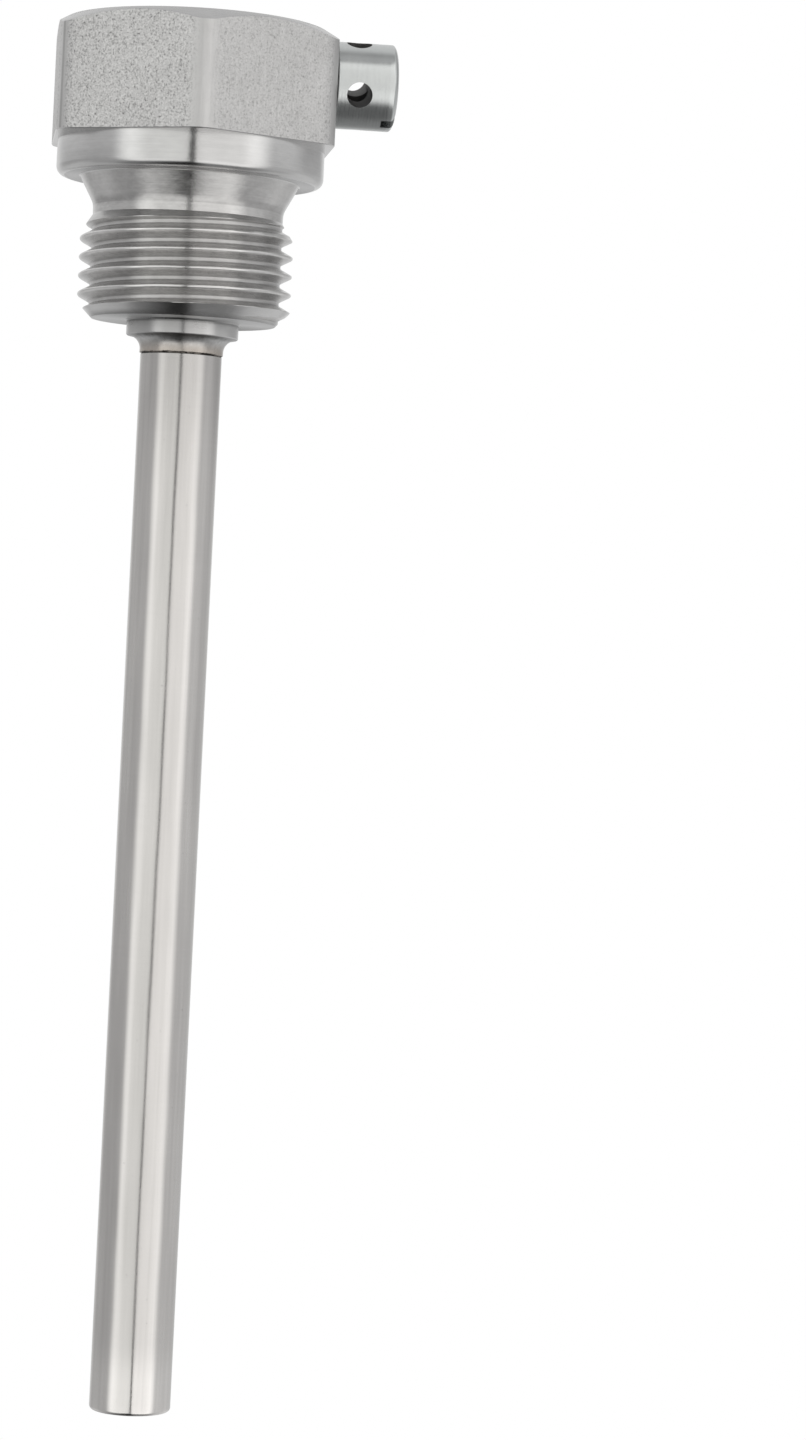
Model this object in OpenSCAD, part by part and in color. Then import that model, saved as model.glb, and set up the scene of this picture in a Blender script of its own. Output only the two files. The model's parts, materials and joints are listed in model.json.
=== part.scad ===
// Screw-in thermowell: a hexagon head with a parallel pipe thread, a closed tube welded under it,
// and a cross-drilled clamp screw in one flat of the hexagon.
// The origin is the centre of the sealing seat. +Z runs up the axis, +X along the clamp screw.

/* [Hexagon head] */
// Hexagon width across flats
hex_af = 27; // [25:0.5:32]
// How much is turned off each of the hexagon's corners
corner_trim = 0.39; // [0.1:0.01:1.2]
// Height of the hexagon
hex_h = 11.7; // [10:0.1:18]
// How far the flat top's round edge lies inside the hexagon's flats
hex_top_inset = 0.7; // [0.2:0.1:2]
// Slope of the chamfer on the hexagon's top, in degrees
hex_chamfer_angle = 30; // [20:1:35]

/* [Collar and neck] */
// Diameter of the sealing collar
collar_d = 26.2; // [24.5:0.1:27]
// Thickness of the sealing collar
collar_h = 3.5; // [2.5:0.1:6]
// Radius on the collar's lower edge
collar_round = 0.6; // [0.3:0.1:1]
// How far the neck stands out past the thread's crests where it leaves the seat
neck_proud = 0.27; // [0.1:0.01:0.6]
// How far the neck stands out past the thread's root where its cone ends
neck_step = 0.28; // [0.1:0.01:0.6]
// Height of the neck's cone
neck_cone_h = 2.1; // [1:0.1:3]
// Height from the seat to the start of the thread
neck_h = 4.7; // [3.5:0.1:8]

/* [Pipe thread] */
// Major diameter of the thread
thread_d = 20.955; // [16.6:0.005:22.9]
// Pitch of the thread
thread_pitch = 1.814; // [1:0.001:2.2]
// Number of full thread crests
thread_turns = 4; // [3:1:8]
// Width of the flat on each crest
crest_flat = 0.24; // [0.15:0.01:0.35]
// Distance from the last full crest to the thread's end face
thread_tail = 2.75; // [2.2:0.05:5]
// How far the end face's edge lies inside the thread's root
end_face_inset = 0.27; // [0.1:0.01:1]

/* [Spigot] */
// Width of the flat step at the spigot's lower end
spigot_step = 0.1; // [0.05:0.05:1.5]
// Height of the spigot's straight side
spigot_h = 1.5; // [1:0.1:4]
// Radius of the hollow curve that runs from the spigot into the weld
spigot_fillet = 1.3; // [0.5:0.05:2]
// Height of the welding lip below the hollow curve
weld_lip_h = 0.45; // [0.3:0.05:1]
// How far the welding lip stands proud of the tube
weld_proud = 0.1; // [0:0.01:0.3]

/* [Tube] */
// Outside diameter of the tube
tube_d = 8; // [6:0.1:10]
// Wall thickness of the tube
tube_wall = 0.75; // [0.5:0.05:1]
// Immersion length, from the seat to the tip
immersion_l = 121; // [50:0.5:300]
// Radius on the tip's outer edge
tip_round = 0.4; // [0.2:0.05:0.6]
// Thickness of the plug that closes the tip
plug_h = 1.2; // [0.8:0.1:2]
// Depth of the seat bored into the tube's end for the plug
plug_seat_h = 1.8; // [1:0.1:4]
// How far the plug's seat is bored out past the tube's own bore
plug_seat_step = 0.2; // [0.1:0.05:0.3]
// Clearance round and above the plug in its seat
plug_clearance = 0.05; // [0.02:0.01:0.1]

/* [Head socket] */
// Diameter of the socket that takes the probe's neck
socket_d = 15.2; // [12:0.1:18]
// Depth of the socket
socket_depth = 12; // [9:0.1:14]
// Width of the chamfer at the socket's mouth
socket_chamfer = 0.5; // [0.2:0.1:1]
// Width of the chamfer at the top of the sensor bore
bore_chamfer = 0.5; // [0.2:0.1:1]

/* [Clamp screw] */
// Height of the screw's axis above the seat
screw_z = 10.4; // [8:0.1:11.5]
// Nominal diameter of the screw's thread
screw_d = 5; // [4:0.5:6]
// Radial clearance between the screw and its hole
screw_clearance = 0.05; // [0.02:0.01:0.1]
// Diameter of the screw's head
screw_head_d = 8.5; // [7.5:0.1:10]
// Length of the screw's head
screw_head_l = 6.05; // [5.5:0.05:8]
// Chamfer on both ends of the head
screw_head_chamfer = 0.4; // [0.2:0.05:0.6]
// Gap between the head and the hexagon's flat
screw_gap = 0.3; // [0.2:0.05:0.8]
// How far the screw's tip is from the socket's wall, inside its hole
screw_tip_inset = 0.1; // [0.05:0.05:1]
// Chamfer on the screw's tip
screw_tip_chamfer = 0.6; // [0.3:0.1:0.8]
// Diameter of the two cross holes for the sealing wire
wire_hole_d = 2.5; // [1.5:0.1:3]
// Distance from the head's underside to the cross holes
wire_hole_x = 2.15; // [1.8:0.05:2.8]
// Angle that the screw is turned to, in degrees below the level
screw_turn = 19; // [0:1:90]
// Width of the screwdriver slot
slot_w = 1.15; // [0.8:0.05:1.4]
// Depth of the screwdriver slot
slot_depth = 1.4; // [1:0.1:1.6]

/* [Hidden] */
$fn = 96;
eps = 0.01;
steel = [0.78, 0.77, 0.75];
tube_steel = [0.83, 0.81, 0.78];
screw_zinc = [0.72, 0.75, 0.77];

// Whitworth form: 55 degrees between the flanks
flank_angle = 27.5;
thread_depth = 0.6403 * thread_pitch;
thread_r = thread_d / 2;
root_r = thread_r - thread_depth;
flank_h = thread_depth * tan(flank_angle);
first_crest_z = -(neck_h + thread_pitch / 2);
last_crest_z = first_crest_z - (thread_turns - 1) * thread_pitch;
thread_end_z = last_crest_z - thread_tail;
end_face_r = root_r - end_face_inset;

spigot_end_z = thread_end_z - spigot_h;
lip_r = tube_d / 2 + weld_proud;
spigot_r = lip_r + spigot_fillet + spigot_step;
fillet_end_z = spigot_end_z - spigot_fillet;
weld_z = fillet_end_z - weld_lip_h;

hex_top_z = collar_h + hex_h;
corner_r = hex_af / 2 / cos(30) - corner_trim;
hex_top_r = hex_af / 2 - hex_top_inset;
hex_chamfer_h = (corner_r - hex_top_r) * tan(hex_chamfer_angle);
socket_floor_z = hex_top_z - socket_depth;
tube_bore_d = tube_d - 2 * tube_wall;
plug_lip_z = plug_h - immersion_l;
plug_seat_r = tube_bore_d / 2 + plug_seat_step;

flat_x = hex_af / 2;
head_x = flat_x + screw_gap;
head_end_x = head_x + screw_head_l;
tip_x = socket_d / 2 + screw_tip_inset;

// Points of a quarter arc about (cx, cy), from angle a0 to angle a1
function arc(cx, cy, r, a0, a1, steps = 10) =
    [for (i = [0 : steps]) let (a = a0 + (a1 - a0) * i / steps) [cx + r * cos(a), cy + r * sin(a)]];

// One ring of the thread, outside the root cylinder
module thread_ring(z) {
    half = crest_flat / 2;
    rotate_extrude()
        polygon([
            [root_r - eps, z + half + flank_h],
            [root_r, z + half + flank_h],
            [thread_r, z + half],
            [thread_r, z - half],
            [root_r, z - half - flank_h],
            [root_r - eps, z - half - flank_h]
        ]);
}

// The turned form from the hexagon's underside down to the weld
module turned_body() {
    collar_r = collar_d / 2;
    rotate_extrude()
        polygon(concat(
            [[0, collar_h], [collar_r, collar_h]],
            arc(collar_r - collar_round, collar_round, collar_round, 0, -90),
            [
                [thread_r + neck_proud, 0],
                [root_r + neck_step, -neck_cone_h],
                [root_r, -(neck_cone_h + neck_h) / 2],
                [root_r, thread_end_z + end_face_inset],
                [end_face_r, thread_end_z],
                [spigot_r, thread_end_z],
                [spigot_r, spigot_end_z]
            ],
            arc(lip_r + spigot_fillet, fillet_end_z, spigot_fillet, 90, 180),
            [[lip_r, weld_z], [0, weld_z]]
        ));
}

// Full thread crests, and one more that the end chamfer cuts down
module thread_rings() {
    chamfer_h = thread_r - end_face_r;
    intersection() {
        union()
            for (i = [0 : thread_turns])
                thread_ring(first_crest_z - i * thread_pitch);
        union() {
            translate([0, 0, thread_end_z + chamfer_h])
                cylinder(h = -thread_end_z, r = thread_d);
            translate([0, 0, thread_end_z])
                cylinder(h = chamfer_h, r1 = end_face_r, r2 = thread_r);
        }
    }
}

// The hexagon, with turned corners and a chamfered top
module hexagon() {
    intersection() {
        translate([0, 0, collar_h])
            rotate([0, 0, 30])
                cylinder(h = hex_h, d = hex_af / cos(30), $fn = 6);
        union() {
            translate([0, 0, collar_h - 1])
                cylinder(h = hex_h + 1 - hex_chamfer_h, r = corner_r);
            translate([0, 0, hex_top_z - hex_chamfer_h])
                cylinder(h = hex_chamfer_h, r1 = corner_r, r2 = hex_top_r);
        }
    }
}

// Hexagon head, collar, neck, thread and spigot, turned from one bar
module hex_fitting() {
    color(steel)
        difference() {
            union() {
                hexagon();
                turned_body();
                thread_rings();
            }
            translate([0, 0, weld_z - 1])
                cylinder(h = hex_top_z - weld_z + 2, d = tube_bore_d);
            translate([0, 0, socket_floor_z - bore_chamfer])
                cylinder(h = bore_chamfer, d1 = tube_bore_d, d2 = tube_bore_d + 2 * bore_chamfer);
            translate([0, 0, socket_floor_z])
                cylinder(h = socket_depth + 1, d = socket_d);
            translate([0, 0, hex_top_z - socket_chamfer])
                cylinder(h = socket_chamfer, d1 = socket_d, d2 = socket_d + 2 * socket_chamfer);
            translate([0, 0, screw_z])
                rotate([0, 90, 0])
                    cylinder(h = flat_x + 1, d = screw_d);
        }
}

// Tube from the weld down to the plug's lip, bored out at its end for the plug
module well_tube() {
    tube_l = weld_z - plug_lip_z;
    color(tube_steel)
        translate([0, 0, plug_lip_z])
            difference() {
                cylinder(h = tube_l, d = tube_d);
                translate([0, 0, -1])
                    cylinder(h = tube_l + 2, d = tube_bore_d);
                translate([0, 0, -1])
                    cylinder(h = plug_seat_h + 1, r = plug_seat_r);
            }
}

// Plug that closes the tip: a lip with a rounded edge, and a register that centres it in its seat
module tip_plug() {
    register_r = plug_seat_r - plug_clearance;
    register_z = plug_lip_z + plug_seat_h - plug_clearance;
    color(tube_steel)
        rotate_extrude()
            polygon(concat(
                [
                    [0, register_z],
                    [register_r, register_z],
                    [register_r, plug_lip_z],
                    [tube_d / 2, plug_lip_z]
                ],
                arc(tube_d / 2 - tip_round, tip_round - immersion_l, tip_round, 0, -90),
                [[0, -immersion_l]]
            ));
}

// The clamp screw's turned form, along +X from its tip to the end of its head
module screw_blank() {
    shank_r = screw_d / 2 - screw_clearance;
    head_r = screw_head_d / 2;
    rotate([0, 90, 0])
        rotate_extrude()
            polygon([
                [0, tip_x],
                [shank_r - screw_tip_chamfer, tip_x],
                [shank_r, tip_x + screw_tip_chamfer],
                [shank_r, head_x],
                [head_r - screw_head_chamfer, head_x],
                [head_r, head_x + screw_head_chamfer],
                [head_r, head_end_x - screw_head_chamfer],
                [head_r - screw_head_chamfer, head_end_x],
                [0, head_end_x]
            ]);
}

// Clamp screw: slotted head with two cross holes, and a shank that presses on the probe's neck
module clamp_screw() {
    wire_x = head_x + wire_hole_x;
    color(screw_zinc)
        translate([0, 0, screw_z])
            rotate([screw_turn, 0, 0])
                difference() {
                    screw_blank();
                    for (turn = [0, 90])
                        translate([wire_x, 0, 0])
                            rotate([90 + turn, 0, 0])
                                cylinder(h = 2 * screw_head_d, d = wire_hole_d, center = true);
                    rotate([45, 0, 0])
                        translate([head_end_x - slot_depth, -screw_head_d, -slot_w / 2])
                            cube([slot_depth + 1, 2 * screw_head_d, slot_w]);
                }
}

hex_fitting();
well_tube();
tip_plug();
clamp_screw();
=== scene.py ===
import json
import math

import bmesh
import bpy
from mathutils import Matrix, Quaternion, Vector


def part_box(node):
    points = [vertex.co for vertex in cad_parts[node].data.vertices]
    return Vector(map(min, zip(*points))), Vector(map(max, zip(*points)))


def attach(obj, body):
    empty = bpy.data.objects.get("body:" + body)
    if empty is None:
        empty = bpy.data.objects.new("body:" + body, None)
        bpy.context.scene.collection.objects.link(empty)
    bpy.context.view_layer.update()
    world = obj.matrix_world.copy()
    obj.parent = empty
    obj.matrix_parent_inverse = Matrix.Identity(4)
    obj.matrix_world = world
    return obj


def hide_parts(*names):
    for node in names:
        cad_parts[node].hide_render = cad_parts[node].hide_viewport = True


# A screw-in thermowell: a hexagon head with a pipe thread, a closed tube welded under it, and a
# cross-drilled clamp screw. Every length is in metres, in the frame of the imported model: +Z runs up
# the axis from the sealing seat, and +X along the clamp screw.

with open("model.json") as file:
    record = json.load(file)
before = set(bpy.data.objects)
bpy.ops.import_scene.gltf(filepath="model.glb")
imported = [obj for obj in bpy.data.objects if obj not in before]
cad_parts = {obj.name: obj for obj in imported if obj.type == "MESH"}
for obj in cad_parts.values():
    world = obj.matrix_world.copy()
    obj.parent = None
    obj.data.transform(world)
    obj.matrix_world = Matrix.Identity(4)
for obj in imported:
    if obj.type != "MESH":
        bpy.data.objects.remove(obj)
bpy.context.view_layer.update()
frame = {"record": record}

MM = 0.001
TURN = 2 * math.pi
ALONG_X = Vector((1, 0, 0))
ALONG_Z = Vector((0, 0, 1))
WHITE = (1.0, 1.0, 1.0, 1.0)


def in_mm(length):
    """A length in metres as a number of millimetres, which is what the patterns count in."""
    return length / MM


# ---------------------------------------------------------------- sizes that the frame gives

fitting_low, fitting_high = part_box("hex_fitting")
tube_low, tube_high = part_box("well_tube")
plug_low, plug_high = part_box("tip_plug")
screw_low, screw_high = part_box("clamp_screw")
mounts = {mount["name"]: mount for mount in frame["record"]["mounts"]}


def mount_radius(name):
    """Radius of a round mount."""
    return mounts[name]["dims"]["r_mm"] * MM


flat_r = -fitting_low.x
corner_r = fitting_high.y
hex_top_z = fitting_high.z
weld_z = fitting_low.z
thread_r = mount_radius("process_thread")
bore_r = mount_radius("sensor_pocket")
socket_r = mount_radius("head_socket")
tube_r = tube_high.x
plug_lip_z = tube_low.z
tip_z = plug_low.z
screw_z = (screw_low.z + screw_high.z) / 2
screw_head_r = (screw_high.z - screw_low.z) / 2
screw_tip_x = screw_low.x
screw_end_x = screw_high.x
wire_hole_r = mount_radius("seal_wire_hole_a")
wire_hole_x = mounts["seal_wire_hole_a"]["pos_m"][0]
wire_hole_axes = [Vector(mounts[name]["axis"]) for name in ("seal_wire_hole_a", "seal_wire_hole_b")]

# ---------------------------------------------------------------- sizes of the finish

# Whitworth form: half the angle between the flanks, the depth as a share of the pitch, and how far
# the middle of a flank is from the crest, in pitches
WHITWORTH_HALF_ANGLE = math.radians(27.5)
WHITWORTH_DEPTH = 0.6403
FLANK_MIDDLE = 0.2326

# Hexagon and collar
hex_bottom_z = 3.5 * MM
hex_top_r = 12.8 * MM
hex_chamfer_angle = math.radians(30)
hex_edge_round = 0.10 * MM
hex_corner_blend = 0.36 * MM
collar_r = 13.1 * MM
collar_round = 0.8 * MM
fine_break = 0.08 * MM
seat_inner_r = 10.75 * MM
neck_waist_r = 9.6 * MM
neck_waist_z = -2.15 * MM
neck_taper = 0.03
neck_blend = 0.20 * MM

# Pipe thread, right-handed
thread_pitch = 1.814 * MM
thread_root_r = thread_r - WHITWORTH_DEPTH * thread_pitch
thread_rounding = 0.24 * MM
thread_top_z = -3.75 * MM
thread_end_z = -13.799 * MM
thread_crest_z = -5.66 * MM  # at the front, a quarter of a turn from +X
run_in_slope = 0.66
end_face_r = 9.046 * MM

# Spigot and weld
spigot_r = 5.5 * MM
spigot_corner = 0.15 * MM
spigot_end_z = -15.299 * MM
fillet_r = 1.3 * MM
weld_lip_r = 4.1 * MM
weld_lip_h = 0.13 * MM
weld_groove_r = 3.93 * MM
weld_groove_h = 0.07 * MM
weld_groove_w = 0.06 * MM

# Socket and bore
socket_floor_z = 3.2 * MM
inner_chamfer = 0.5 * MM

# Tube and plug
tube_edge = 0.06 * MM
tip_round = 0.4 * MM
plug_body_r = 3.44 * MM

# Clamp screw
screw_head_x = 13.8 * MM
screw_end_bulge = 0.60 * MM
screw_end_rounding = 1.7 * MM
screw_tip_chamfer = 0.6 * MM
screw_thread_r = 2.45 * MM
screw_neck = 0.4 * MM
screw_neck_r = screw_thread_r - 0.3 * MM
screw_pitch = 0.8 * MM
screw_thread_root_r = screw_thread_r - 0.49 * MM
screw_thread_rounding = 0.10 * MM
screw_hole_r = 2.5 * MM
screw_hole_overrun = 2 * MM
slot_w = 1.15 * MM
slot_depth = 1.5 * MM
slot_overrun = 1 * MM

# Heights of the neck's rings, in millimetres
NECK_HEIGHTS = (-0.2, -0.5, -1.2, -1.9, -2.2, -2.35, -2.5, -2.6, -2.7, -2.85, -3.0, -3.3)

# How finely things are divided, round the axis and along it
FITTING_COLUMNS = 360
THREAD_ROWS = 190
TUBE_COLUMNS = 144
TUBE_ROWS = 60
SCREW_COLUMNS = 144
SCREW_HEAD_ROWS = 12
SCREW_THREAD_ROWS = 130
DRILL_COLUMNS = 64
WELD_ARC_STEPS = 10
TIP_ARC_STEPS = 8

# Radius of the small ring at a pole before it is closed, and the distance that merges points
POLE_R = 0.001 * MM
MERGE_DISTANCE = 0.001 * MM

# How near the end chamfer a point of the thread counts as on it
CHAMFER_REACH = 0.02 * MM

# Where the middle ring of the hexagon's rounded edge is, as a share of the way in to its inner ring
HEX_EDGE_BULGE = 0.18

# Places of the finishes in each piece's list of materials
SKIN, TURNED, THREAD, WELD, DEEP, FACED = range(6)
OUTSIDE, INSIDE = range(2)


# ---------------------------------------------------------------- node trees as plain arithmetic

class Link:
    """One output of a node tree. Arithmetic on it adds Math nodes, so a pattern reads as a formula."""

    def __init__(self, graph, socket):
        self.graph = graph
        self.socket = socket

    def __add__(self, other):
        return self.graph.maths("ADD", self, other)

    def __radd__(self, other):
        return self.graph.maths("ADD", other, self)

    def __sub__(self, other):
        return self.graph.maths("SUBTRACT", self, other)

    def __rsub__(self, other):
        return self.graph.maths("SUBTRACT", other, self)

    def __mul__(self, other):
        return self.graph.maths("MULTIPLY", self, other)

    def __rmul__(self, other):
        return self.graph.maths("MULTIPLY", other, self)

    def __truediv__(self, other):
        return self.graph.maths("DIVIDE", self, other)

    def __rtruediv__(self, other):
        return self.graph.maths("DIVIDE", other, self)


class Graph:
    """A node tree that is being built, for a finish, the studio or a shape."""

    def __init__(self, tree):
        self.tree = tree

    def node(self, kind, settings=None, values=None, output=0):
        """Adds a node: its type, then its settings, then the values or links of its inputs."""
        made = self.tree.nodes.new(kind)
        for name, value in (settings or {}).items():
            if name == "stops":
                set_stops(made.color_ramp, value)
            else:
                setattr(made, name, value)
        for name, value in (values or {}).items():
            if isinstance(value, Link):
                self.tree.links.new(value.socket, made.inputs[name])
            else:
                made.inputs[name].default_value = value
        return Link(self, made.outputs[output]) if len(made.outputs) else None

    def maths(self, operation, *terms):
        """A Math node on one to three terms."""
        return self.node("ShaderNodeMath", {"operation": operation}, dict(enumerate(terms)))

    def smooth_step(self, value, low, high):
        """0 below low, 1 above high, and a soft change between them. low may be the larger."""
        settings = {"interpolation_type": "SMOOTHSTEP", "clamp": True}
        values = {"Value": value, "From Min": low, "From Max": high}
        return self.node("ShaderNodeMapRange", settings, values)

    def mix_colours(self, share, first, second):
        """The first colour where share is 0, and the second where it is 1."""
        # Inputs 6 and 7 are the node's two colours
        values = {0: share, 6: first, 7: second}
        return self.node("ShaderNodeMix", {"data_type": "RGBA"}, values, output=2)

    def parts_of(self, vector):
        """The x, y and z of a vector."""
        split = self.node("ShaderNodeSeparateXYZ", values={"Vector": vector}).socket.node
        return [Link(self, socket) for socket in split.outputs]

    def vector(self, x, y, z):
        """A vector from three numbers or links."""
        return self.node("ShaderNodeCombineXYZ", values={"X": x, "Y": y, "Z": z})


def empty_graph(owner):
    """The node tree of a material, a light or a world, emptied."""
    owner.use_nodes = True
    owner.node_tree.nodes.clear()
    return Graph(owner.node_tree)


def set_stops(ramp, stops):
    """Gives a colour ramp its stops, each a place and a grey level or a colour."""
    while len(ramp.elements) < len(stops):
        ramp.elements.new(1.0)
    for element, (place, level) in zip(ramp.elements, stops):
        element.position = place
        element.color = level if isinstance(level, tuple) else (level, level, level, 1.0)


# ---------------------------------------------------------------- finishes

class Finish(Graph):
    """A metal finish. Its patterns read the object's own coordinates, in millimetres."""

    def __init__(self, name):
        self.material = bpy.data.materials.new(name)
        self.material.use_nodes = True
        super().__init__(self.material.node_tree)
        self.tree.nodes.clear()
        place = self.node("ShaderNodeTexCoord", output="Object")
        self.place = self.node(
            "ShaderNodeVectorMath", {"operation": "SCALE"}, {"Vector": place, "Scale": 1 / MM}
        )
        self.x, self.y, self.z = self.parts_of(self.place)
        flat = self.vector(self.x, self.y, 0.0)
        self.radius = self.node(
            "ShaderNodeVectorMath", {"operation": "LENGTH"}, {"Vector": flat}, output="Value"
        )

    def noise(self, vector, scale, detail=2.0, roughness=0.5):
        """Noise from 0 to 1, with scale features to a millimetre."""
        values = {"Vector": vector, "Scale": scale, "Detail": detail, "Roughness": roughness}
        return self.node("ShaderNodeTexNoise", values=values)

    def stretched(self, x, y, z):
        """The place on the object with each axis multiplied."""
        values = {0: self.place, 1: (x, y, z)}
        return self.node("ShaderNodeVectorMath", {"operation": "MULTIPLY"}, values)

    def tool_marks(self, lines):
        """Fine marks that run round the axis, as a lathe tool leaves them, lines to a millimetre."""
        across = self.vector(self.radius, self.x * 0.02, self.z)
        return self.noise(across, lines, 3.0, 0.6)

    def bump(self, height, distance):
        """A normal from a height, with distance in millimetres."""
        values = {"Height": height, "Distance": distance * MM, "Strength": 1.0}
        return self.node("ShaderNodeBump", values=values)

    def metal(self, colour, roughness, normal, grain=0.0):
        """Ends the tree in one metal shader. grain spreads reflections along the axis."""
        values = {
            "Metallic": 1.0,
            "Base Color": colour,
            "Roughness": roughness,
            "Anisotropic": grain,
            "Anisotropic Rotation": 0.25,
            "Normal": normal,
        }
        shader = self.node("ShaderNodeBsdfPrincipled", values=values)
        self.node("ShaderNodeOutputMaterial", values={"Surface": shader})
        return self.material


def grey(level, warmth=0.0):
    """A near-grey colour. Warmth above 0 leans to yellow, below 0 to blue."""
    return (level * (1 + warmth), level, level * (1 - warmth), 1.0)


def bar_skin():
    """The hexagon's flats: the drawn bar's matt skin, finely pitted, with lengthwise streaks."""
    finish = Finish("bar_skin")
    grains = finish.noise(finish.place, 5.4, 2.0, 0.55)
    worms = finish.noise(finish.stretched(1.0, 1.0, 0.8), 3.4, 2.0, 0.6)
    streaks = finish.noise(finish.stretched(1.0, 1.0, 0.10), 3.6, 3.0, 0.65)
    clouds = finish.noise(finish.place, 0.30, 2.0, 0.5)

    # The pitting is coarse on the side that faces -X, finer on the other, and worn off at the corners
    corner, flat = in_mm(corner_r), in_mm(flat_r)
    coarse = finish.smooth_step(finish.x, 0.6, -1.8)
    off_corner = finish.smooth_step(finish.radius, corner, corner - 0.10)
    off_corner = off_corner * finish.smooth_step(finish.y, -corner, 0.6 - corner)
    pitted = off_corner * (0.55 + coarse * 0.45)
    dark = finish.smooth_step(grains, 0.46, 0.30) * 0.8 + finish.smooth_step(worms, 0.43, 0.33) * 0.7
    bright = finish.smooth_step(grains, 0.50, 0.66)
    shade = 0.575 + (clouds - 0.5) * 0.08 + (streaks - 0.5) * 0.15 * (1.05 - coarse * 0.8)
    shade = shade + (bright * 0.11 - dark * 0.25) * pitted

    # Painted highlight: the front corner is painted lighter down its middle
    corner_highlight = finish.smooth_step(finish.x, -0.4, 0.0) * finish.smooth_step(finish.x, 0.8, 0.4)
    shade = shade + corner_highlight * finish.smooth_step(finish.y, 0.4 - corner, 0.1 - corner) * 0.06

    # The corner beside the -X flat has a fine dark line down its middle, and the -X flat with the
    # outer half of that corner is painted lighter, a painted highlight
    from_line = finish.y * math.cos(TURN / 12) - finish.x * math.sin(TURN / 12)
    flat_side = finish.smooth_step(finish.x, 0.6 - flat, 0.4 - flat)
    line = finish.smooth_step(finish.maths("ABSOLUTE", from_line), 0.26, 0.10) * flat_side
    shade = shade + finish.smooth_step(from_line, 0.1, 0.3) * flat_side * 0.09 - line * 0.13
    colour = finish.mix_colours(shade, grey(0.0, 0.006), grey(1.0, 0.006))
    height = bright * 0.4 * pitted - dark * pitted + streaks * 0.4
    roughness = 0.48 + dark * 0.08
    return finish.metal(colour, roughness, finish.bump(height, 0.010))


def turned_steel():
    """Collar, chamfers, seat and spigot: bright stainless, fresh from the lathe."""
    finish = Finish("turned_steel")
    marks = finish.tool_marks(7.0)
    clouds = finish.noise(finish.stretched(0.8, 0.8, 1.6), 0.42, 3.0, 0.6)

    # Painted shade: the edge of the chamfer on the hexagon's top, the spigot and the corner above it
    # are painted darker, the spigot most on its -X side; the spigot is also rougher
    edge_z, edge_r, end = in_mm(chamfer_z(corner_r)), in_mm(hex_top_r), in_mm(thread_end_z)
    chamfer_edge_shade = finish.smooth_step(finish.z, edge_z - 0.4, edge_z)
    chamfer_edge_shade = chamfer_edge_shade * finish.smooth_step(finish.radius, edge_r - 0.2, edge_r + 0.1)
    spigot = finish.smooth_step(finish.z, end + 0.6, end - 0.1)
    corner = finish.smooth_step(finish.z, end - 0.45, end - 0.15) * spigot
    shade = 0.615 + (marks - 0.5) * 0.08 + (clouds - 0.5) * 0.16 - chamfer_edge_shade * 0.10
    # Painted shade on the spigot, less of it towards +X, and in the corner above the spigot
    shade = shade - spigot * (0.11 - finish.smooth_step(finish.x, -0.5, 2.0) * 0.10) - corner * 0.24
    colour = finish.mix_colours(shade, grey(0.0, 0.004), grey(1.0, 0.004))
    roughness = 0.19 + (marks - 0.5) * 0.05 + (clouds - 0.5) * 0.12 + spigot * 0.10
    height = marks + clouds * 6.0
    return finish.metal(colour, roughness, finish.bump(height, 0.002), grain=0.8)


def faced_steel():
    """The flat rings of the seat and under the thread: faced off in coarser rings, and so duller."""
    finish = Finish("faced_steel")
    marks = finish.tool_marks(5.0)
    clouds = finish.noise(finish.place, 0.5, 3.0, 0.6)
    # Painted shade: the ring is painted darker towards the spigot
    inner = finish.smooth_step(finish.radius, in_mm(end_face_r) - 0.45, in_mm(spigot_r) + 0.1)
    shade = 0.56 - inner * 0.09 + (marks - 0.5) * 0.12 + (clouds - 0.5) * 0.08
    roughness = 0.37 + (clouds - 0.5) * 0.1
    colour = finish.mix_colours(shade, grey(0.0), grey(1.0))
    return finish.metal(colour, roughness, finish.bump(marks, 0.003), grain=0.92)


def thread_steel():
    """Neck and thread: a rougher cut with scuff marks, a painted highlight on the crests and painted
    shade in the roots.
    """
    finish = Finish("thread_steel")
    marks = finish.tool_marks(6.0)
    scuffs = finish.noise(finish.stretched(1.0, 1.0, 1.8), 1.1, 4.0, 0.65)
    top, waist = in_mm(thread_top_z), in_mm(neck_waist_z)
    crest = finish.smooth_step(finish.radius, in_mm(thread_r) - 0.30, in_mm(thread_r) - 0.05)
    root = finish.smooth_step(finish.radius, in_mm(thread_root_r) + 0.35, in_mm(thread_root_r))
    threaded = finish.smooth_step(finish.z, top, top - 0.8)
    hollow = finish.smooth_step(finish.z, waist + 0.15, waist - 0.35)
    hollow = hollow * finish.smooth_step(finish.z, waist - 0.85, waist - 0.70)
    # Painted shade on a band of the neck just above the thread; the neck is painted a little lighter
    # than the thread, a painted highlight
    shade = 0.59 - threaded * 0.04 - hollow * 0.10 + (marks - 0.5) * 0.10 + (scuffs - 0.5) * 0.24
    # Painted highlight on the crests and painted shade in the roots
    shade = shade + threaded * (crest * 0.14 - root * 0.04)
    colour = finish.mix_colours(shade, grey(0.0, 0.010), grey(1.0, 0.010))
    roughness = 0.22 + (scuffs - 0.5) * 0.14 + threaded * root * 0.12
    return finish.metal(colour, roughness, finish.bump(marks + scuffs * 2.0, 0.004), grain=0.7)


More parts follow.
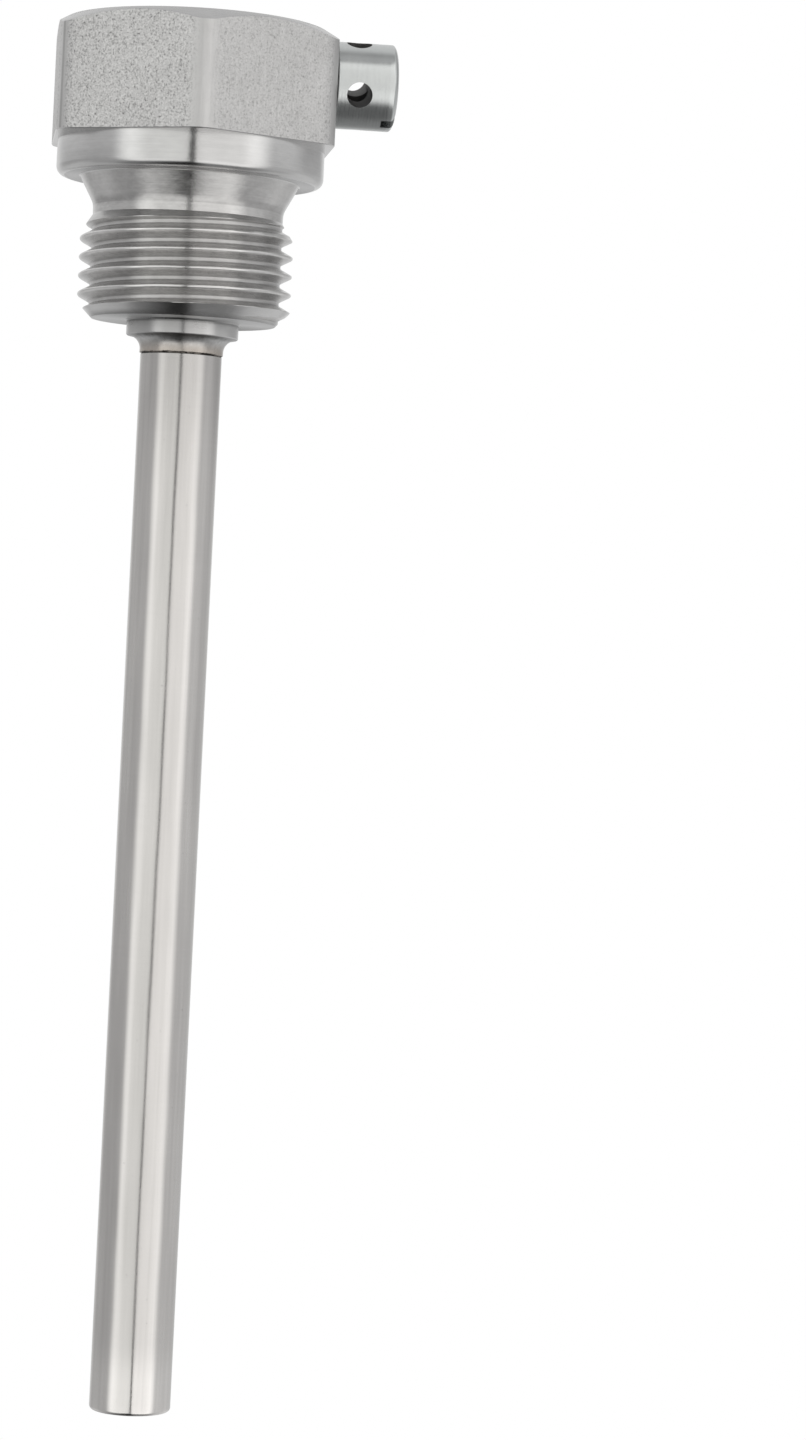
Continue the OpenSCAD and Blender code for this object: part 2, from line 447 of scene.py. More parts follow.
def weld_steel():
    """The welded lip and its fillet: heat-tinted, and dark along the broken line of the weld."""
    finish = Finish("weld_steel")
    ripples = finish.noise(finish.place, 1.4, 4.0, 0.7)
    mottle = finish.noise(finish.place, 2.6, 3.0, 0.6)
    fillet_top, weld = in_mm(spigot_end_z), in_mm(weld_z)

    # The dark line follows the ripples and breaks off here and there
    line_z = weld + 0.08 + (ripples - 0.5) * 0.45
    whole = finish.smooth_step(finish.noise(finish.place, 1.2, 2.0, 0.5), 0.42, 0.52)
    line = finish.smooth_step(finish.z, line_z + 0.10, line_z - 0.02) * (0.10 + whole * 0.90)

    # Painted shade under the spigot's edge, along the top of the fillet
    under_edge_shade = finish.smooth_step(finish.z, fillet_top - 0.45, fillet_top - 0.05)
    tint = finish.smooth_step(finish.z, fillet_top - 0.3, weld + 0.15)
    shade = 0.50 + (ripples - 0.5) * 0.24 + (mottle - 0.5) * 0.32 - under_edge_shade * 0.30
    straw, soot = (0.52, 0.45, 0.38, 1.0), (0.035, 0.03, 0.028, 1.0)
    colour = finish.mix_colours(shade, grey(0.0), grey(1.0))
    colour = finish.mix_colours(tint * 0.6, colour, straw)
    colour = finish.mix_colours(line * 0.93, colour, soot)
    roughness = 0.20 + ripples * 0.2 + line * 0.3
    return finish.metal(colour, roughness, finish.bump(ripples, 0.018), grain=0.6)


def tube_steel():
    """The tube and its tip: drawn and ground stainless with a satin shine; towards the tip it is
    smoother from polishing and painted lighter, a painted highlight.
    """
    finish = Finish("tube_steel")
    lengthwise = finish.noise(finish.stretched(1.0, 1.0, 0.02), 2.2, 4.0, 0.6)
    round_marks = finish.tool_marks(7.0)
    clouds = finish.noise(finish.stretched(1.0, 1.0, 0.16), 0.45, 2.0, 0.5)
    waves = finish.noise(finish.stretched(1.0, 1.0, 0.25), 0.16, 2.0, 0.5)
    specks = finish.smooth_step(finish.noise(finish.place, 3.0, 1.0, 0.4), 0.225, 0.19)
    tip, weld = in_mm(tip_z), in_mm(weld_z)
    polish_and_highlight = finish.smooth_step(finish.z, tip + 7.5, tip + 3.0)
    smoked = finish.smooth_step(finish.z, weld - 16.0, weld)
    seam = finish.smooth_step(finish.z, weld - 0.12, weld - 0.05)
    shade = 0.67 + (lengthwise - 0.5) * 0.12 + (clouds - 0.5) * 0.17 + (round_marks - 0.5) * 0.04
    # Painted highlight: towards the tip the colour is painted lighter
    shade = shade * (1.0 + polish_and_highlight * 0.15) - specks * 0.12 - smoked * 0.12 - seam * 0.40
    warm_grey = (1.015, 0.99, 0.968, 1.0)
    colour = finish.mix_colours(shade, grey(0.0), warm_grey)
    roughness = 0.25 + (lengthwise - 0.5) * 0.10 + (clouds - 0.5) * 0.10 - polish_and_highlight * 0.07
    height = round_marks * 0.4 + lengthwise * 1.2 + waves * 50.0
    return finish.metal(colour, roughness, finish.bump(height, 0.003), grain=0.75)


def slot_direction():
    """The way the screwdriver slot runs across the screw's end, midway between the cross holes."""
    return (wire_hole_axes[0] - wire_hole_axes[1]).normalized()


def slot_across():
    """The way across the screwdriver slot."""
    return ALONG_X.cross(slot_direction())


def zinc():
    """The clamp screw: a satin plated finish with a bluish cast, with painted shade in its slot."""
    finish = Finish("zinc")
    marks = finish.noise(finish.stretched(1.0, 0.05, 0.05), 6.0, 3.0, 0.6)
    clouds = finish.noise(finish.place, 0.55, 3.0, 0.55)
    shade = 0.64 + (clouds - 0.5) * 0.12 + (marks - 0.5) * 0.05
    across = slot_across()
    off_slot = finish.y * across.y + (finish.z - in_mm(screw_z)) * across.z
    slot_side, slot_floor = in_mm(slot_w / 2), in_mm(screw_end_x - slot_depth)
    off_slot = finish.maths("ABSOLUTE", off_slot)
    slot_shade = finish.smooth_step(off_slot, slot_side + 0.05, slot_side + 0.02)
    slot_shade = slot_shade * finish.smooth_step(finish.x, slot_floor - 0.1, slot_floor)
    # Painted shade on the floor and walls of the slot
    shade = shade * (1.0 - slot_shade * 0.3)
    bluish_white = (0.97, 1.0, 0.995, 1.0)
    colour = finish.mix_colours(shade, grey(0.0), bluish_white)
    roughness = 0.17 + clouds * 0.12
    return finish.metal(colour, roughness, finish.bump(marks + clouds, 0.006))


def bore_shade_steel():
    """Drilled holes: the dull inside of the bores, painted dark, a painted shade."""
    finish = Finish("bore_shade_steel")
    marks = finish.noise(finish.place, 2.0, 4.0, 0.6)
    shade = 0.16 + (marks - 0.5) * 0.10
    colour = finish.mix_colours(shade, grey(0.0), grey(1.0, 0.01))
    return finish.metal(colour, 0.50 + marks * 0.2, finish.bump(marks, 0.02))


# ---------------------------------------------------------------- shapes

def helical_thread():
    """A geometry node tree for a tube with a screw thread on it.

    Its rows follow the helix, and rows past an end fold into that end's level ring. The blank is
    turned down to the root where the thread runs in, and chamfered at 45 degrees where it ends."""
    tree = bpy.data.node_groups.new("helical_thread", "GeometryNodeTree")
    tree.interface.new_socket("Mesh", in_out="OUTPUT", socket_type="NodeSocketGeometry")
    lengths = ("Pitch", "Crest Radius", "Root Radius", "Crest Height", "Top", "Bottom", "End Radius")
    for name in (*lengths, "Run-in Slope", "Rounding"):
        tree.interface.new_socket(name, in_out="INPUT", socket_type="NodeSocketFloat")
    for name in ("Columns", "Rows"):
        tree.interface.new_socket(name, in_out="INPUT", socket_type="NodeSocketInt")
    tree.interface.new_socket("Finish", in_out="INPUT", socket_type="NodeSocketMaterial")
    graph = Graph(tree)
    given = graph.node("NodeGroupInput").socket.node
    size = {socket.name: Link(graph, socket) for socket in given.outputs}
    pitch = size["Pitch"]

    values = {"Size X": 1.0, "Size Y": 1.0, "Vertices X": size["Rows"], "Vertices Y": size["Columns"]}
    sheet = graph.node("GeometryNodeMeshGrid", values=values)
    down, around, _ = graph.parts_of(graph.node("GeometryNodeInputPosition"))
    turn = around + 0.5
    start = size["Top"] - (down + 0.5) * (size["Top"] - size["Bottom"] + pitch)
    free = start + turn * pitch
    height = graph.maths("MINIMUM", graph.maths("MAXIMUM", free, size["Bottom"]), size["Top"])

    # Distance from the nearest crest, in pitches, and the Whitworth flank on either side of it
    phase = (height - size["Crest Height"]) / pitch - turn
    apart = graph.maths("ABSOLUTE", phase - graph.maths("ROUND", phase))
    middle = (size["Crest Radius"] + size["Root Radius"]) / 2
    flank = middle + (FLANK_MIDDLE - apart) * pitch / math.tan(WHITWORTH_HALF_ANGLE)
    crested = graph.maths("SMOOTH_MIN", flank, size["Crest Radius"], size["Rounding"])
    cut = graph.maths("SMOOTH_MAX", crested, size["Root Radius"], size["Rounding"])
    run_in = size["Root Radius"] + (size["Top"] - height) * size["Run-in Slope"]
    chamfer = size["End Radius"] + (height - size["Bottom"])
    radius = graph.maths("MINIMUM", graph.maths("MINIMUM", cut, run_in), chamfer)

    angle = turn * TURN
    place = graph.vector(
        radius * graph.maths("COSINE", angle), radius * graph.maths("SINE", angle), height
    )
    shaped = graph.node("GeometryNodeSetPosition", values={"Geometry": sheet, "Position": place})
    values = {"Geometry": shaped, "Distance": MERGE_DISTANCE / 2}
    merged = graph.node("GeometryNodeMergeByDistance", values=values)
    real = graph.node("GeometryNodeRealizeInstances", values={"Geometry": merged})
    values = {"Geometry": real, "Material": size["Finish"]}
    done = graph.node("GeometryNodeSetMaterial", values=values)
    graph.node("NodeGroupOutput", values={"Mesh": done})
    return tree


def into_scene(name, data):
    """A new object of a mesh, a light or a camera, linked into the scene."""
    made = bpy.data.objects.new(name, data)
    bpy.context.scene.collection.objects.link(made)
    return made


def mesh_from_nodes(tree, sizes):
    """The plain mesh that a geometry node tree gives for named sizes."""
    holder = into_scene("holder", bpy.data.meshes.new("holder"))
    modifier = holder.modifiers.new("shape", "NODES")
    modifier.node_group = tree
    for socket in tree.interface.items_tree:
        if socket.in_out == "INPUT":
            modifier[socket.identifier] = sizes[socket.name]
    mesh = evaluated_mesh(holder)
    bpy.data.objects.remove(holder)
    return mesh


def evaluated_mesh(thing):
    """A plain mesh of an object with its modifiers worked in."""
    ready = thing.evaluated_get(bpy.context.evaluated_depsgraph_get())
    return bpy.data.meshes.new_from_object(ready)


def even_angles(columns):
    """Angles of equal columns round the axis."""
    return [TURN * i / columns for i in range(columns)]


def arc(centre_r, centre_z, radius, start, end, steps=6):
    """Profile points on an arc, from start to end degrees, as (radius, height)."""
    turns = [math.radians(start + (end - start) * i / steps) for i in range(steps + 1)]
    return [(centre_r + radius * math.cos(a), centre_z + radius * math.sin(a)) for a in turns]


def ring(angles, radius, height):
    """One ring of points. Radius and height are numbers, or functions of the angle."""
    points = []
    for angle in angles:
        r = radius(angle) if callable(radius) else radius
        z = height(angle) if callable(height) else height
        points.append((r * math.cos(angle), r * math.sin(angle), z))
    return points


def skin(name, rings, finishes, closed=False):
    """A mesh with a band of faces from each ring to the next. rings holds (points, finish) pairs,
    and a band has the finish of its first ring. A closed skin joins its last ring to its first."""
    columns = len(rings[0][0])
    points = [point for ring_points, _ in rings for point in ring_points]
    faces, face_finishes = [], []
    for i in range(len(rings) if closed else len(rings) - 1):
        here, there = i * columns, (i + 1) % len(rings) * columns
        for j in range(columns):
            k = (j + 1) % columns
            faces.append((here + j, here + k, there + k, there + j))
            face_finishes.append(rings[i][1])
    mesh = bpy.data.meshes.new(name)
    mesh.from_pydata(points, [], faces)
    for finish in finishes:
        mesh.materials.append(finish)
    mesh.polygons.foreach_set("material_index", face_finishes)
    return mesh


def joined(name, meshes, finishes):
    """One closed mesh from several that share their edge rings, with its normals outward."""
    work = bmesh.new()
    for mesh in meshes:
        work.from_mesh(mesh)
    bmesh.ops.remove_doubles(work, verts=work.verts, dist=MERGE_DISTANCE)
    bmesh.ops.dissolve_degenerate(work, edges=work.edges, dist=MERGE_DISTANCE)
    bmesh.ops.recalc_face_normals(work, faces=work.faces)
    result = bpy.data.meshes.new(name)
    work.to_mesh(result)
    work.free()
    for finish in finishes:
        result.materials.append(finish)
    for mesh in meshes:
        bpy.data.meshes.remove(mesh)
    return result


def piece(name, mesh, sharp_angle=32):
    """An object at the origin, smooth apart from edges sharper than an angle in degrees."""
    mesh.name = name
    mesh.shade_smooth()
    mesh.set_sharp_from_angle(angle=math.radians(sharp_angle))
    return into_scene(name, mesh)


def cut_away(name, mesh, cutters, sharp_angle=32):
    """A piece with the cutter meshes taken out of it."""
    body = piece(name, mesh, sharp_angle)
    tools = [piece(f"cutter_{i}", cutter) for i, cutter in enumerate(cutters)]
    for tool in tools:
        cut = body.modifiers.new("cut", "BOOLEAN")
        cut.operation = "DIFFERENCE"
        cut.solver = "EXACT"
        cut.object = tool
    result = evaluated_mesh(body)
    for done in (body, *tools):
        bpy.data.objects.remove(done)
    return piece(name, result, sharp_angle)


def drill(axis, centre, radius, length, finish, finishes):
    """A closed round cutter along an axis through a point."""
    half, pole = length / 2, POLE_R / 10
    angles = even_angles(DRILL_COLUMNS)
    profile = [(pole, -half), (radius, -half), (radius, half), (pole, half)]
    rings = [(ring(angles, r, z), finish) for r, z in profile]
    mesh = joined("drill", [skin("drill", rings, finishes)], finishes)
    close_ends(mesh)
    lay_along(mesh, axis, centre)
    return mesh


def lay_along(mesh, axis, centre):
    """Turns a mesh made round +Z so that it lies along an axis, and moves it to a point."""
    turn = ALONG_Z.rotation_difference(axis).to_matrix().to_4x4()
    mesh.transform(Matrix.Translation(centre) @ turn)


def close_ends(mesh):
    """Fills the small holes at the poles of a mesh."""
    work = bmesh.new()
    work.from_mesh(mesh)
    bmesh.ops.holes_fill(work, edges=[edge for edge in work.edges if edge.is_boundary])
    bmesh.ops.recalc_face_normals(work, faces=work.faces)
    work.to_mesh(mesh)
    work.free()


# ---------------------------------------------------------------- the fitting

def smooth_min(a, b, blend):
    """The smaller of two numbers, with a soft change where they are within blend of each other."""
    share = max(blend - abs(a - b), 0.0) / blend
    return min(a, b) - share * share * blend / 4


def hex_radius(angle):
    """Distance from the axis to the hexagon's side, with its corners turned down."""
    off_centre = (angle + TURN / 12) % (TURN / 6) - TURN / 12
    return smooth_min(flat_r / math.cos(off_centre), corner_r, hex_corner_blend)


def hex_columns():
    """Column angles, with a column on each line where a flat meets a turned corner."""
    corner_line = math.acos(flat_r / corner_r)
    angles = []
    for angle in even_angles(FITTING_COLUMNS):
        centre = round(angle / (TURN / 6)) * (TURN / 6)
        off_centre = angle - centre
        if abs(abs(off_centre) - corner_line) < TURN / FITTING_COLUMNS / 2:
            angle = centre + math.copysign(corner_line, off_centre)
        angles.append(angle)
    return angles


def chamfer_z(radius):
    """Height of the hexagon's top chamfer at a radius."""
    return hex_top_z - (radius - hex_top_r) * math.tan(hex_chamfer_angle)


def ripple(angle, seed):
    """A small irregular wave round the axis, from about -1 to 1."""
    waves = ((3, 0.9), (7, 0.7), (12, 0.6), (19, 0.5), (31, 0.35))
    return sum(size * math.sin(n * angle + seed * n * n) for n, size in waves) / 2


def weld_lip_radius(angle):
    """Radius of the welding lip, which the weld left a little uneven."""
    return weld_lip_r + 0.02 * MM * ripple(angle, 2.0)


def weld_lip_z(angle):
    """Height of the welding lip's lower edge."""
    return weld_z + weld_lip_h + 0.04 * MM * ripple(angle, 0.7)


def weld_groove_z(angle):
    """Height of the groove between the lip and the tube."""
    return weld_z + weld_groove_h + 0.03 * MM * ripple(angle, 0.7)


def neck_radius(z):
    """Radius of the neck at a height: a cone under the seat that turns softly into a cylinder."""
    cone = seat_inner_r + z * (seat_inner_r - neck_waist_r) / -neck_waist_z
    plain = thread_root_r + (z - thread_top_z) * neck_taper
    return -smooth_min(-cone, -plain, neck_blend)


def hex_edge(inset, rise):
    """Radius and height of a ring on the hexagon's rounded upper edge, as functions of the angle."""
    return (
        lambda angle: hex_radius(angle) - inset,
        lambda angle: chamfer_z(hex_radius(angle)) + rise,
    )


def upper_rings():
    """The fitting above its thread: up the bore and socket, over the hexagon and down the neck.
    Each ring has its angles, radius, height and finish."""
    even = even_angles(FITTING_COLUMNS)
    hexed = hex_columns()
    slant = hex_edge_round * math.sin(hex_chamfer_angle)
    level = hex_edge_round * math.cos(hex_chamfer_angle)
    rings = [
        (even, bore_r, weld_z, DEEP),
        (even, bore_r, socket_floor_z - inner_chamfer, DEEP),
        (even, bore_r + inner_chamfer, socket_floor_z, DEEP),
        (even, socket_r, socket_floor_z, TURNED),
        (even, socket_r, hex_top_z - inner_chamfer, TURNED),
        (even, socket_r + inner_chamfer, hex_top_z, TURNED),
        (even, hex_top_r - fine_break, hex_top_z, TURNED),
        (even, hex_top_r + fine_break, chamfer_z(hex_top_r + fine_break), TURNED),
        (hexed, *hex_edge(level, slant), SKIN),
        (hexed, *hex_edge(HEX_EDGE_BULGE * level, 0.0), SKIN),
        (hexed, *hex_edge(0.0, -hex_edge_round), SKIN),
        (hexed, hex_radius, hex_bottom_z + fine_break, TURNED),
        (hexed, lambda angle: hex_radius(angle) - fine_break, hex_bottom_z, TURNED),
        (even, collar_r, hex_bottom_z, TURNED),
        (even, collar_r, collar_round, TURNED),
    ]
    corner = arc(collar_r - collar_round, collar_round, collar_round, 0, -90)
    rings += [(even, radius, height, TURNED) for radius, height in corner[1:-1]]
    rings += [
        (even, *corner[-1], FACED),
        (even, seat_inner_r + fine_break, 0.0, TURNED),
        (even, seat_inner_r - fine_break / 2, -fine_break, THREAD),
    ]
    rings += [(even, neck_radius(z * MM), z * MM, THREAD) for z in NECK_HEIGHTS]
    rings += [(even, thread_root_r, thread_top_z, THREAD)]
    return rings


def lower_rings():
    """The fitting below its thread: end face, spigot, hollow curve, weld, and in to the bore."""
    even = even_angles(FITTING_COLUMNS)
    rings = [
        (even, end_face_r, thread_end_z, FACED),
        (even, spigot_r + spigot_corner, thread_end_z, TURNED),
        (even, spigot_r, thread_end_z - spigot_corner, TURNED),
        (even, spigot_r, spigot_end_z + fine_break, TURNED),
        (even, spigot_r - fine_break, spigot_end_z, WELD),
    ]
    hollow = arc(weld_lip_r + fillet_r, spigot_end_z - fillet_r, fillet_r, 90, 180, WELD_ARC_STEPS)
    rings += [(even, radius, height, WELD) for radius, height in hollow]
    rings += [
        (even, weld_lip_radius, weld_lip_z, WELD),
        (even, weld_groove_r + weld_groove_w, weld_groove_z, WELD),
        (even, weld_groove_r, weld_z, WELD),
        (even, bore_r, weld_z, DEEP),
    ]
    return rings


def band(name, rings, finishes):
    """A skin over rings that are given as angles, radius, height and finish."""
    placed = [(ring(angles, radius, height), finish) for angles, radius, height, finish in rings]
    return skin(name, placed, finishes)


def on_end_chamfer(point):
    """Whether a point of the thread is on the 45 degree chamfer that ends it."""
    chamfer_r = end_face_r + point.z - thread_end_z
    return abs(math.hypot(point.x, point.y) - chamfer_r) < CHAMFER_REACH


def make_fitting(finishes, thread_tree):
    """Hexagon head, collar, neck, pipe thread, spigot and welding lip, in one piece of bar."""
    sizes = {
        "Pitch": thread_pitch,
        "Crest Radius": thread_r,
        "Root Radius": thread_root_r,
        "Crest Height": thread_crest_z + thread_pitch / 4,
        "Top": thread_top_z,
        "Bottom": thread_end_z,
        "End Radius": end_face_r,
        "Run-in Slope": run_in_slope,
        "Rounding": thread_rounding,
        "Columns": FITTING_COLUMNS + 1,
        "Rows": THREAD_ROWS,
        "Finish": finishes[THREAD],
    }
    thread = mesh_from_nodes(thread_tree, sizes)
    finish_of = [TURNED if on_end_chamfer(face.center) else THREAD for face in thread.polygons]
    thread.polygons.foreach_set("material_index", finish_of)
    parts = [
        band("upper", upper_rings(), finishes),
        thread,
        band("lower", lower_rings(), finishes),
    ]
    mesh = joined("fitting", parts, finishes)
    hole_length = flat_r - socket_r + 2 * screw_hole_overrun
    hole_centre = ((flat_r + socket_r) / 2, 0, screw_z)
    hole = drill(ALONG_X, hole_centre, screw_hole_r, hole_length, DEEP, finishes)
    return cut_away("fitting", mesh, [hole], sharp_angle=20)


# ---------------------------------------------------------------- tube, plug and clamp screw

def make_tube(finishes):
    """The tube, open at both ends, its upper edge broken by the weld's shallow groove."""
    angles = even_angles(TUBE_COLUMNS)
    top = weld_z - tube_edge
    step = (plug_lip_z - top) / TUBE_ROWS
    profile = [(bore_r, weld_z, OUTSIDE), (weld_groove_r, weld_z, OUTSIDE)]
    profile += [(tube_r, top + step * i, OUTSIDE) for i in range(TUBE_ROWS + 1)]
    profile += [(bore_r, plug_lip_z, INSIDE)]
    rings = [(ring(angles, radius, height), finish) for radius, height, finish in profile]
    return piece("tube", joined("tube", [skin("tube", rings, finishes, closed=True)], finishes))


def make_plug(finishes):
    """The plug that closes the tip, flush with the tube and with a rounded edge."""
    angles = even_angles(TUBE_COLUMNS)
    profile = [
        (POLE_R, plug_high.z),
        (plug_body_r, plug_high.z),
        (plug_body_r, plug_lip_z),
        (tube_r, plug_lip_z),
    ]
    profile += arc(tube_r - tip_round, tip_z + tip_round, tip_round, 0, -90, TIP_ARC_STEPS)
    profile += [(tube_r * 0.6, tip_z), (tube_r * 0.3, tip_z), (POLE_R, tip_z)]
    rings = [(ring(angles, radius, height), OUTSIDE) for radius, height in profile]
    mesh = joined("plug", [skin("plug", rings, finishes)], finishes)
    close_ends(mesh)
    return piece("plug", mesh)


def screw_head_profile():
    """The clamp screw's head from its neck to the middle of its domed end: radius and height."""
    side_start, side_end = screw_head_x + fine_break, screw_end_x - screw_end_bulge
    step = (side_end - side_start) / SCREW_HEAD_ROWS
    end_r = screw_head_r - screw_end_rounding
    profile = [
        (screw_thread_root_r, screw_head_x - screw_neck),
        (screw_neck_r, screw_head_x),
        (screw_head_r - fine_break, screw_head_x),
    ]
    profile += [(screw_head_r, side_start + step * i) for i in range(SCREW_HEAD_ROWS + 1)]
    for across, along in arc(0, 0, 1, 0, 90, 10)[1:]:
        radius = end_r + screw_end_rounding * across
        profile.append((radius, screw_end_x + screw_end_bulge * (along - 1)))
    return profile + [(end_r * 0.66, screw_end_x), (end_r * 0.33, screw_end_x), (POLE_R, screw_end_x)]


def make_screw(finishes, thread_tree):
    """The clamp screw: slotted head with two cross holes, and its threaded shank."""
    angles = even_angles(SCREW_COLUMNS)
    tip_r = screw_thread_r - screw_tip_chamfer
    sizes = {
        "Pitch": screw_pitch,
        "Crest Radius": screw_thread_r,
        "Root Radius": screw_thread_root_r,
        "Crest Height": screw_tip_x + screw_pitch,
        "Top": screw_head_x - screw_neck,
        "Bottom": screw_tip_x,
        "End Radius": tip_r,
        "Run-in Slope": 1.0,
        "Rounding": screw_thread_rounding,
        "Columns": SCREW_COLUMNS + 1,
        "Rows": SCREW_THREAD_ROWS,
        "Finish": finishes[OUTSIDE],
    }
    head = [(ring(angles, radius, height), OUTSIDE) for radius, height in screw_head_profile()]
    tip = [(ring(angles, radius, screw_tip_x), OUTSIDE) for radius in (POLE_R, tip_r)]
    parts = [
        skin("head", head, finishes),
        skin("tip", tip, finishes),
        mesh_from_nodes(thread_tree, sizes),
    ]
    mesh = joined("clamp_screw_dressed", parts, finishes)
    close_ends(mesh)
    lay_along(mesh, ALONG_X, (0, 0, screw_z))
    centre = (wire_hole_x, 0, screw_z)
    length = 3 * screw_head_r
    cutters = [drill(axis, centre, wire_hole_r, length, INSIDE, finishes) for axis in wire_hole_axes]
    cutters.append(slot_cutter(finishes))
    return cut_away("clamp_screw_dressed", mesh, cutters, sharp_angle=28)


def slot_cutter(finishes):
    """A closed box for the screwdriver slot in the screw's end."""
    work = bmesh.new()
    bmesh.ops.create_cube(work, size=1.0)
    mesh = bpy.data.meshes.new("slot")
    work.to_mesh(mesh)
    work.free()
    for finish in finishes:
        mesh.materials.append(finish)
    depth = slot_depth + slot_overrun
    length = 4 * screw_head_r
    sides = (ALONG_X * depth, slot_direction() * length, slot_across() * slot_w)
    centre = (screw_end_x - slot_depth + depth / 2, 0, screw_z)
    mesh.transform(Matrix.Translation(centre) @ Matrix(sides).transposed().to_4x4())
    return mesh


# ---------------------------------------------------------------- studio

# Distance of the softboxes from the axis
LIGHT_DISTANCE = 0.7

FLOOR_R = 3.0
FLOOR_DROP = 0.18  # below the tip

# How bright the metal's surround is round the X axis: angles in degrees with their brightness.
# 0 is level in front, 90 overhead, 180 level behind and -90 straight down.
SURROUND = (
    # from level behind, down to straight below
    (-180, 0.95), (-166, 0.75), (-150, 0.30), (-137, 0.18), (-118, 0.15), (-104, 0.10), (-94, 0.02),
    # the dark front, from below to a little above level
    (-70, 0.02), (-30, 0.02), (30, 0.02),
    # the grey ceiling, and the white wall behind
    (58, 0.25), (66, 0.62), (76, 0.62), (88, 0.42), (100, 0.80), (112, 0.95), (180, 0.95),
)


def make_camera():
    """The camera, a little left of the front and below the head, turned slightly on its own axis."""
    data = bpy.data.cameras.new("camera")
    data.lens = 105.0
    data.sensor_width = 36.0
    data.clip_start = 0.01
    data.clip_end = 20.0
    camera = into_scene("camera", data)
    place = Vector((-0.024623, -0.413113, -0.045904))
    target = Vector((0.02372, 0.0, -0.05178))
    roll = Quaternion((0, 0, 1), math.radians(2.857))
    camera.location = place
    camera.rotation_mode = "QUATERNION"
    camera.rotation_quaternion = (target - place).to_track_quat("-Z", "Y") @ roll
    bpy.context.scene.camera = camera


def make_softbox(name, azimuths, elevations, radiance, colour, fades):
    """A tall soft light that faces the axis, between two azimuths and two elevations in degrees.
    Azimuth 0 is the front, and 90 is +X. The fades are the shares of its width and height over
    which it dims towards its left, right, lower and upper edge."""
    middle = math.radians(sum(azimuths) / 2)
    half = math.radians((azimuths[1] - azimuths[0]) / 2)
    low, high = (LIGHT_DISTANCE * math.tan(math.radians(angle)) for angle in elevations)
    data = bpy.data.lights.new(name, "AREA")
    data.shape = "RECTANGLE"
    data.size = 2 * LIGHT_DISTANCE * math.tan(half)
    data.size_y = high - low
    data.energy = radiance * math.pi * data.size * data.size_y
    graph = empty_graph(data)
    across, up, _ = graph.parts_of(graph.node("ShaderNodeNewGeometry", output="Parametric"))
    left, right, lower, upper = fades
    strength = graph.smooth_step(across, 0.0, left) * graph.smooth_step(across, 1.0, 1.0 - right)
    strength = strength * graph.smooth_step(up, 0.0, lower) * graph.smooth_step(up, 1.0, 1.0 - upper)
    glow = graph.node("ShaderNodeEmission", values={"Color": colour, "Strength": strength})
    graph.node("ShaderNodeOutputLight", values={"Surface": glow})
    light = into_scene(name, data)
    inward = Vector((-math.sin(middle), math.cos(middle), 0))
    light.location = -inward * LIGHT_DISTANCE + Vector((0, 0, (low + high) / 2))
    light.rotation_mode = "QUATERNION"
    light.rotation_quaternion = inward.to_track_quat("-Z", "Y")
    light.visible_camera = False


def make_world():
    """A white surround for the camera. What the metal reflects is a room: dark in front and below,
    grey overhead and white behind, by the angle round the X axis, with grey walls at both sides."""
    world = bpy.data.worlds.new("studio")
    bpy.context.scene.world = world
    graph = empty_graph(world)
    direction = graph.node("ShaderNodeTexCoord", output="Generated")
    x, y, z = graph.parts_of(direction)
    round_x = graph.maths("ARCTAN2", z, 0.0 - y) / TURN + 0.5
    stops = [((angle + 180) / 360, level) for angle, level in SURROUND]
    along = graph.node("ShaderNodeValToRGB", {"stops": stops}, {"Fac": round_x})
    behind = graph.smooth_step(y, -0.3, 0.3)
    below = graph.smooth_step(z, -0.35, -0.75)
    low = graph.smooth_step(z, -0.15, -0.45)
    rear_low = graph.smooth_step(y, 0.1, 0.5) * low

    # How far a direction is on a side wall: the walls come nearer the middle behind and below
    near = 0.60 - below * 0.20 - behind * (0.30 - below * 0.32) - rear_low * 0.28
    to_side = graph.smooth_step(graph.maths("ABSOLUTE", x), near, near + 0.40 - behind * 0.1)

    # The right wall is brighter, and above level both are, apart from the right one's rear
    right = graph.smooth_step(x, -1.0, 1.0)
    rear = graph.smooth_step(y, 0.05, 0.45)
    above = graph.smooth_step(z, 0.05, 0.12)
    side = 0.55 + right * 0.19 + above * (0.32 + rear * (0.16 - right * 0.74))
    side = side * (1.0 - below * 0.15) + rear_low * 0.20

    # Low down, the surround is brighter on either side of the middle
    beside = graph.smooth_step(x, 0.0, 0.15) * 0.26 + graph.smooth_step(x, -0.10, -0.45) * 0.20
    along = along + low * beside
    level = along + (side - along) * to_side
    room = graph.node("ShaderNodeBackground", values={"Strength": level})
    white = graph.node("ShaderNodeBackground", values={"Color": WHITE, "Strength": 1.0})
    seen = graph.node("ShaderNodeLightPath", output="Is Camera Ray")
    both = graph.node("ShaderNodeMixShader", values={0: seen, 1: room, 2: white})
    graph.node("ShaderNodeOutputWorld", values={"Surface": both})


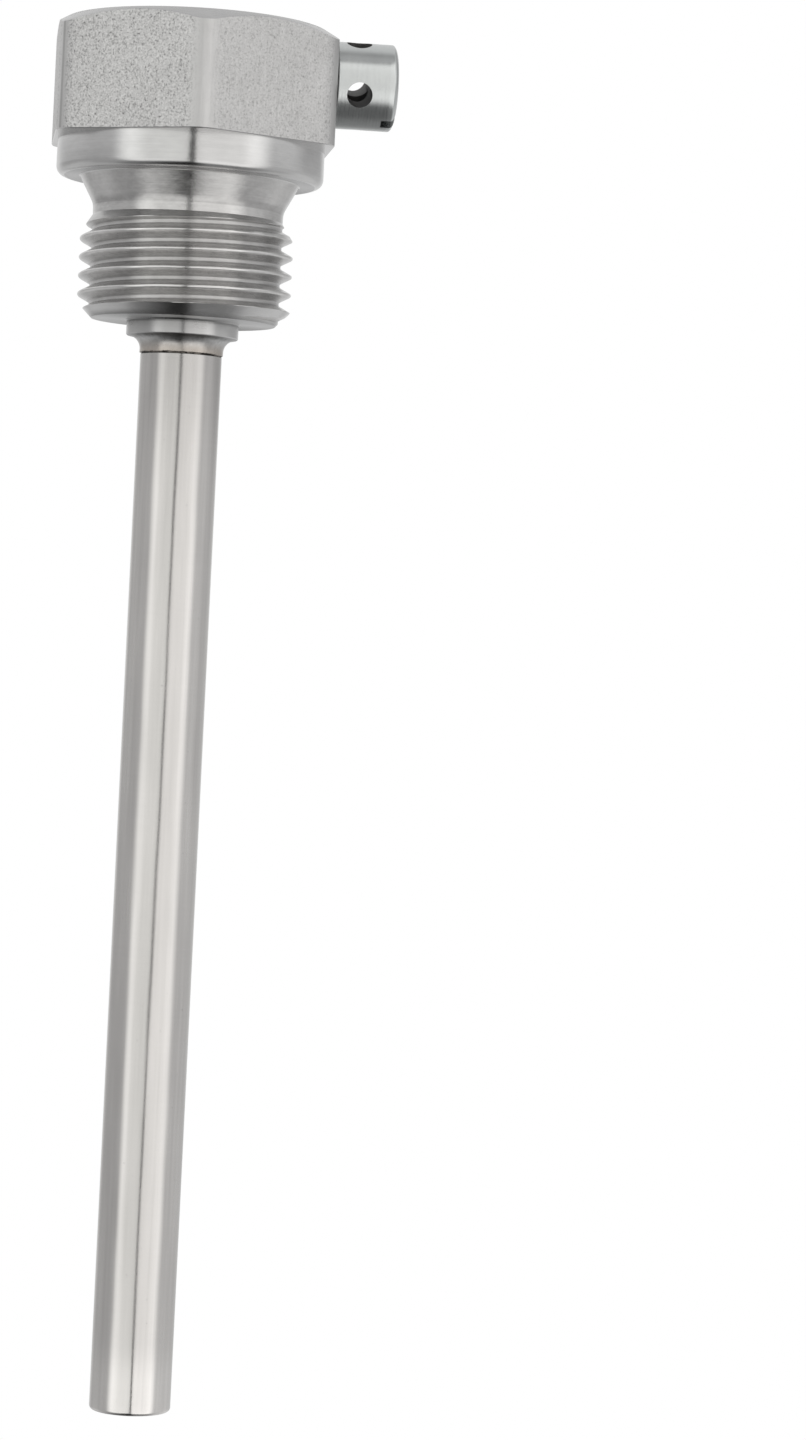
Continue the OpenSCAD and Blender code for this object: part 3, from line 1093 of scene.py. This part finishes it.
def make_floor():
    """A plain pale floor, well under the tip. It is clear from below, so the part shows there too."""
    work = bmesh.new()
    bmesh.ops.create_circle(work, cap_ends=True, segments=96, radius=FLOOR_R)
    mesh = bpy.data.meshes.new("floor")
    work.to_mesh(mesh)
    work.free()
    floor = into_scene("floor", mesh)
    floor.location.z = tip_z - FLOOR_DROP
    material = bpy.data.materials.new("pale_floor")
    graph = empty_graph(material)
    pale = graph.node("ShaderNodeBsdfDiffuse", values={"Color": (0.8, 0.8, 0.8, 1)})
    white = graph.node("ShaderNodeEmission", values={"Color": WHITE, "Strength": 1.0})
    seen = graph.node("ShaderNodeLightPath", output="Is Camera Ray")
    top = graph.node("ShaderNodeMixShader", values={0: seen, 1: pale, 2: white})
    clear = graph.node("ShaderNodeBsdfTransparent")
    under = graph.node("ShaderNodeNewGeometry", output="Backfacing")
    both = graph.node("ShaderNodeMixShader", values={0: under, 1: top, 2: clear})
    graph.node("ShaderNodeOutputMaterial", values={"Surface": both})
    mesh.materials.append(material)
    floor.visible_glossy = False


def make_studio():
    """Camera, lights, floor and surround."""
    bpy.context.scene.view_settings.view_transform = "Standard"
    make_camera()
    make_softbox(
        "left_softbox",
        azimuths=(-76, -4.5),
        elevations=(-54, 62),
        radiance=0.92,
        colour=(1.0, 1.0, 0.98, 1.0),
        fades=(0.34, 0.01, 0.24, 0.10),
    )
    make_softbox(
        "right_softbox",
        azimuths=(0.1, 74),
        elevations=(-58, 62),
        radiance=1.02,
        colour=(1.0, 0.99, 0.975, 1.0),
        fades=(0.01, 0.38, 0.23, 0.10),
    )
    make_world()
    make_floor()


# ---------------------------------------------------------------- assembly

def main():
    """Builds the pieces and puts each on its body."""
    thread_tree = helical_thread()
    deep = bore_shade_steel()

    # In the order of SKIN, TURNED, THREAD, WELD, DEEP and FACED
    finishes = [bar_skin(), turned_steel(), thread_steel(), weld_steel(), deep, faced_steel()]
    fitting = make_fitting(finishes, thread_tree)
    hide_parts("hex_fitting")
    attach(fitting, "pocket")

    drawn = tube_steel()
    tube = make_tube([drawn, deep])
    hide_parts("well_tube")
    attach(tube, "pocket")

    plug = make_plug([drawn])
    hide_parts("tip_plug")
    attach(plug, "pocket")

    clamp_screw = make_screw([zinc(), deep], thread_tree)
    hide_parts("clamp_screw")
    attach(clamp_screw, "clamp_screw")

    make_studio()


main()
